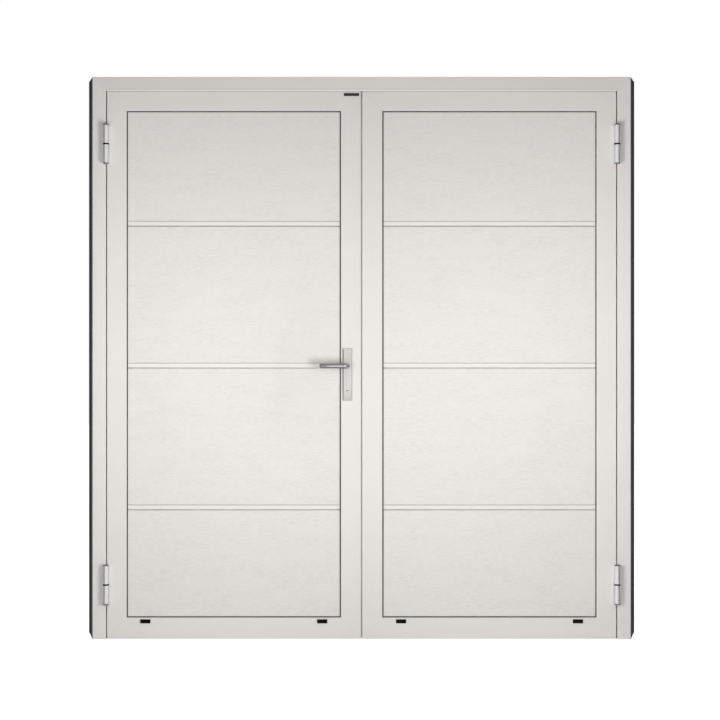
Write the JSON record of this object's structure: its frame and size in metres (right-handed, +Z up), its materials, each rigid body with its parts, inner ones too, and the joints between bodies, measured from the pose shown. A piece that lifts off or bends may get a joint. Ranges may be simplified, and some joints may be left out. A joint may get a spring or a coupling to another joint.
{
  "type": "double utility door",
  "caption": "White double utility door in its frame: outward-opening leaves of mitred profiles with horizontal sandwich panels, exposed barrel hinges, a lever handle and flush bolts.",
  "frame": {"origin": "on the floor, in the middle of the door's width and of the frame's depth", "axes": "+X to the right seen from outside, +Y into the wall, +Z up"},
  "size_m": [2.028, 0.1884, 2.09],
  "materials": {
    "profile_paint": "white powder coat",
    "panel_skin": "white coated sheet, fine horizontal grain",
    "gasket": "matt black rubber",
    "edge_seal": "matt grey rubber",
    "side_strip": "matt dark grey rubber",
    "cleat_aluminium": "as cast",
    "hinge_aluminium": "satin silver",
    "hinge_cap_plastic": "matt grey",
    "black_plastic": "matt black",
    "handle_steel": "satin",
    "lock_steel": "plain zinc-plated",
    "cylinder_brass": "nickel-plated"
  },
  "bodies": {
    "frame": {"left_jamb": "profile_paint", "right_jamb": "profile_paint", "head": "profile_paint", "threshold": "profile_paint", "frame_corner_cleats": "cleat_aluminium", "stop_gaskets": "gasket", "left_side_strip": "side_strip", "right_side_strip": "side_strip", "left_hinge_frame_halves": "hinge_aluminium", "right_hinge_frame_halves": "hinge_aluminium", "hinge_pins": "lock_steel", "hinge_rings": "black_plastic", "hinge_caps": "hinge_cap_plastic"},
    "left_leaf": {"left_hinge_stile": "profile_paint", "left_top_rail": "profile_paint", "left_bottom_rail": "profile_paint", "left_corner_cleats": "cleat_aluminium", "left_panel_gaskets": "gasket", "left_glazing_beads": "profile_paint", "left_drain_caps": "black_plastic", "left_edge_seals": "edge_seal", "left_hinge_leaf_halves": "hinge_aluminium", "left_panel_1": "panel_skin", "left_panel_2": "panel_skin", "left_panel_3": "panel_skin", "left_panel_4": "panel_skin", "left_stile_plugs": "black_plastic", "left_lock_stile": "profile_paint", "lock_faceplate": "lock_steel", "lock_case": "lock_steel", "lock_cover": "lock_steel", "cylinder_body": "cylinder_brass", "outside_plate": "handle_steel", "inside_plate": "handle_steel"},
    "right_leaf": {"right_hinge_stile": "profile_paint", "right_top_rail": "profile_paint", "right_bottom_rail": "profile_paint", "right_corner_cleats": "cleat_aluminium", "right_panel_gaskets": "gasket", "right_glazing_beads": "profile_paint", "right_drain_caps": "black_plastic", "right_edge_seals": "edge_seal", "right_hinge_leaf_halves": "hinge_aluminium", "right_panel_1": "panel_skin", "right_panel_2": "panel_skin", "right_panel_3": "panel_skin", "right_panel_4": "panel_skin", "right_stile_plugs": "black_plastic", "right_meeting_stile": "profile_paint", "strike_plate": "lock_steel", "flush_bolt_plates": "lock_steel"},
    "lever_set": {"outside_lever": "handle_steel", "inside_lever": "handle_steel", "spindle": "lock_steel", "follower": "lock_steel"},
    "latch": {"latch_bolt": "lock_steel"},
    "dead_bolt": {"dead_bolt": "lock_steel"},
    "key_plug": {"key_plug": "cylinder_brass"},
    "top_bolt": {"top_flush_bolt": "lock_steel"},
    "bottom_bolt": {"bottom_flush_bolt": "lock_steel"}
  },
  "joints": [
    {"name": "left_leaf_swing", "type": "hinge", "parent": "frame", "child": "left_leaf", "pos_m": [-0.948, -0.0445, 1.022], "axis": [0, 0, -1], "range_deg": [0, 170]},
    {"name": "right_leaf_swing", "type": "hinge", "parent": "frame", "child": "right_leaf", "pos_m": [0.948, -0.0445, 1.022], "axis": [0, 0, 1], "range_deg": [0, 170]},
    {"name": "lever_turn", "type": "hinge", "parent": "left_leaf", "child": "lever_set", "pos_m": [-0.052, 0, 1.016], "axis": [0, -1, 0], "range_deg": [0, 35], "stiffness_Nm_per_rad": 1.5, "springref_deg": -34.38},
    {"name": "latch_draw", "type": "slide", "parent": "left_leaf", "child": "latch", "axis": [-1, 0, 0], "range_m": [0, 0.0095]},
    {"name": "key_turn", "type": "hinge", "parent": "left_leaf", "child": "key_plug", "pos_m": [-0.052, 0, 0.924], "axis": [0, -1, 0], "range_deg": [0, 360]},
    {"name": "dead_bolt_throw", "type": "slide", "parent": "left_leaf", "child": "dead_bolt", "axis": [1, 0, 0], "range_m": [0, 0.02]},
    {"name": "top_bolt_throw", "type": "slide", "parent": "right_leaf", "child": "top_bolt", "axis": [0, 0, 1], "range_m": [0, 0.02]},
    {"name": "bottom_bolt_throw", "type": "slide", "parent": "right_leaf", "child": "bottom_bolt", "axis": [0, 0, -1], "range_m": [0, 0.02]}
  ],
  "couplings": [
    {"joint": "latch_draw", "follows": "lever_turn", "m_per_rad": 0.01555},
    {"joint": "dead_bolt_throw", "follows": "key_turn", "m_per_rad": 0.00318}
  ]
}
